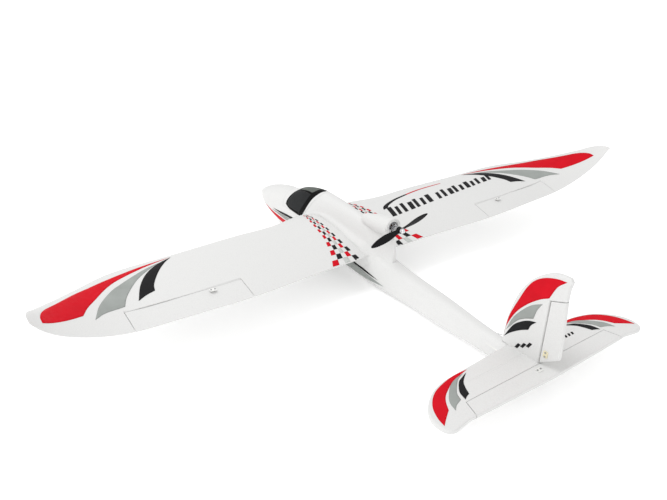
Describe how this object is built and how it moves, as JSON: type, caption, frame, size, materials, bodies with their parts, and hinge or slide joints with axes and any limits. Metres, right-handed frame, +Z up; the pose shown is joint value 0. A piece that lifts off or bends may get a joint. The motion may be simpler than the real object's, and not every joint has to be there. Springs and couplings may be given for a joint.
{
  "type": "radio controlled motor glider",
  "caption": "White foam radio-controlled motor glider: pusher motor on a pylon, upswept wing tips, lift-off canopy and moving control surfaces.",
  "frame": {"origin": "centre of the overall bounding box, on the flat of the belly that the model stands on", "axes": "+X to the left wing tip, +Y aft to the tail, +Z up"},
  "size_m": [1.4014, 0.9141, 0.232],
  "materials": {
    "white_foam": "fine beaded foam",
    "canopy_black": "painted foam, satin",
    "steel": "bright",
    "screw_steel": "bright",
    "ivory_nylon": "moulded",
    "servo_case": "tinted moulding",
    "arm_nylon": "moulded",
    "carbon_tube": "woven carbon",
    "sleeve_plastic": "extruded",
    "battery_wrap": "shrink wrap",
    "strap_fabric": "woven hook and loop",
    "controller_wrap": "shrink wrap",
    "receiver_case": "moulded",
    "tray_wood": "plywood",
    "mount_aluminium": "satin",
    "stator_copper": "enamelled windings",
    "motor_can": "anodised",
    "bright_aluminium": "polished",
    "propeller_black": "moulded"
  },
  "bodies": {
    "airframe": {"fuselage_left_half": "white_foam", "fuselage_right_half": "white_foam", "fuselage_magnets": "steel", "left_wing_panel": "white_foam", "right_wing_panel": "white_foam", "left_aileron_servo": "servo_case", "right_aileron_servo": "servo_case", "wing_joiner_tube": "carbon_tube", "wing_joiner_sleeve": "sleeve_plastic", "stabiliser_spar_strip": "carbon_tube", "horizontal_stabiliser": "white_foam", "fin": "white_foam", "rudder_servo": "servo_case", "elevator_servo": "servo_case", "rudder_guide_tube": "sleeve_plastic", "elevator_guide_tube": "sleeve_plastic", "battery_pack": "battery_wrap", "battery_strap": "strap_fabric", "speed_controller": "controller_wrap", "receiver": "receiver_case", "servo_tray": "tray_wood", "motor_mount": "mount_aluminium", "motor_mount_screws": "steel", "motor_base": "mount_aluminium", "motor_stator": "stator_copper"},
    "hatch": {"canopy_hatch": "canopy_black", "hatch_magnets": "steel"},
    "rotor": {"motor_bell": "motor_can", "propeller_adapter": "bright_aluminium", "propeller": "propeller_black", "propeller_nut": "bright_aluminium"},
    "left_aileron": {"left_aileron": "white_foam", "left_aileron_horn": "ivory_nylon", "left_aileron_horn_backplate": "ivory_nylon", "left_aileron_horn_screws": "screw_steel"},
    "left_aileron_arm": {"left_aileron_servo_arm": "arm_nylon"},
    "left_aileron_rod": {"left_aileron_pushrod": "steel"},
    "right_aileron": {"right_aileron": "white_foam", "right_aileron_horn": "ivory_nylon", "right_aileron_horn_backplate": "ivory_nylon", "right_aileron_horn_screws": "screw_steel"},
    "right_aileron_arm": {"right_aileron_servo_arm": "arm_nylon"},
    "right_aileron_rod": {"right_aileron_pushrod": "steel"},
    "elevator": {"elevator": "white_foam", "elevator_horn": "ivory_nylon", "elevator_horn_backplate": "ivory_nylon", "elevator_horn_screws": "screw_steel"},
    "elevator_arm": {"elevator_servo_arm": "arm_nylon"},
    "elevator_rod": {"elevator_pushrod": "steel"},
    "rudder": {"rudder": "white_foam", "rudder_horn": "ivory_nylon", "rudder_horn_backplate": "ivory_nylon", "rudder_horn_screws": "screw_steel"},
    "rudder_arm": {"rudder_servo_arm": "arm_nylon"},
    "rudder_rod": {"rudder_pushrod": "steel"}
  },
  "joints": [
    {"name": "hatch_lift", "type": "slide", "parent": "airframe", "child": "hatch", "axis": [0, 0, 1], "range_m": [0, 0.08]},
    {"name": "prop_spin", "type": "hinge", "parent": "airframe", "child": "rotor", "pos_m": [0, 0.051, 0.1506], "axis": [0, 0.9877, 0.1564], "continuous": true},
    {"name": "left_aileron_hinge", "type": "hinge", "parent": "airframe", "child": "left_aileron", "pos_m": [0.377, -0.03644, 0.0987], "axis": [0.9985, 0.024, 0.0501], "range_deg": [-25, 25]},
    {"name": "left_aileron_servo_turn", "type": "hinge", "parent": "airframe", "child": "left_aileron_arm", "pos_m": [0.37878, -0.10342, 0.0952], "axis": [0.9985, 0.024, 0.0501], "range_deg": [-25, 25]},
    {"name": "left_aileron_rod_pivot", "type": "hinge", "parent": "left_aileron", "child": "left_aileron_rod", "pos_m": [0.3781, -0.03641, 0.07672], "axis": [0.9985, 0.024, 0.0501], "range_deg": [-25, 25]},
    {"name": "right_aileron_hinge", "type": "hinge", "parent": "airframe", "child": "right_aileron", "pos_m": [-0.377, -0.03644, 0.0987], "axis": [0.9985, -0.024, -0.0501], "range_deg": [-25, 25]},
    {"name": "right_aileron_servo_turn", "type": "hinge", "parent": "airframe", "child": "right_aileron_arm", "pos_m": [-0.37878, -0.10342, 0.0952], "axis": [0.9985, -0.024, -0.0501], "range_deg": [-25, 25]},
    {"name": "right_aileron_rod_pivot", "type": "hinge", "parent": "right_aileron", "child": "right_aileron_rod", "pos_m": [-0.3781, -0.03641, 0.07672], "axis": [0.9985, -0.024, -0.0501], "range_deg": [-25, 25]},
    {"name": "elevator_hinge", "type": "hinge", "parent": "airframe", "child": "elevator", "pos_m": [0, 0.421, 0.054], "axis": [1, 0, 0], "range_deg": [-20, 20]},
    {"name": "elevator_servo_turn", "type": "hinge", "parent": "airframe", "child": "elevator_arm", "pos_m": [0.001, -0.13, 0.0466], "axis": [0, 0, 1], "range_deg": [-20, 20]},
    {"name": "elevator_rod_slide", "type": "slide", "parent": "airframe", "child": "elevator_rod", "axis": [-0.0005, 1, -0.009], "range_m": [-0.0054, 0.0054]},
    {"name": "rudder_hinge", "type": "hinge", "parent": "airframe", "child": "rudder", "pos_m": [0, 0.4185, 0.0805], "axis": [0, 0, 1], "range_deg": [-25, 25]},
    {"name": "rudder_servo_turn", "type": "hinge", "parent": "airframe", "child": "rudder_arm", "pos_m": [-0.001, -0.084, 0.0466], "axis": [0, 0, 1], "range_deg": [-25, 25]},
    {"name": "rudder_rod_slide", "type": "slide", "parent": "airframe", "child": "rudder_rod", "axis": [-0.0059, 1, 0.0003], "range_m": [-0.0067, 0.0067]}
  ],
  "couplings": [
    {"joint": "left_aileron_servo_turn", "follows": "left_aileron_hinge", "ratio": 1},
    {"joint": "left_aileron_rod_pivot", "follows": "left_aileron_hinge", "ratio": -1},
    {"joint": "right_aileron_servo_turn", "follows": "right_aileron_hinge", "ratio": 1},
    {"joint": "right_aileron_rod_pivot", "follows": "right_aileron_hinge", "ratio": -1},
    {"joint": "elevator_servo_turn", "follows": "elevator_hinge", "ratio": 1},
    {"joint": "elevator_rod_slide", "follows": "elevator_hinge", "m_per_rad": 0.015},
    {"joint": "rudder_servo_turn", "follows": "rudder_hinge", "ratio": 1},
    {"joint": "rudder_rod_slide", "follows": "rudder_hinge", "m_per_rad": -0.015}
  ]
}
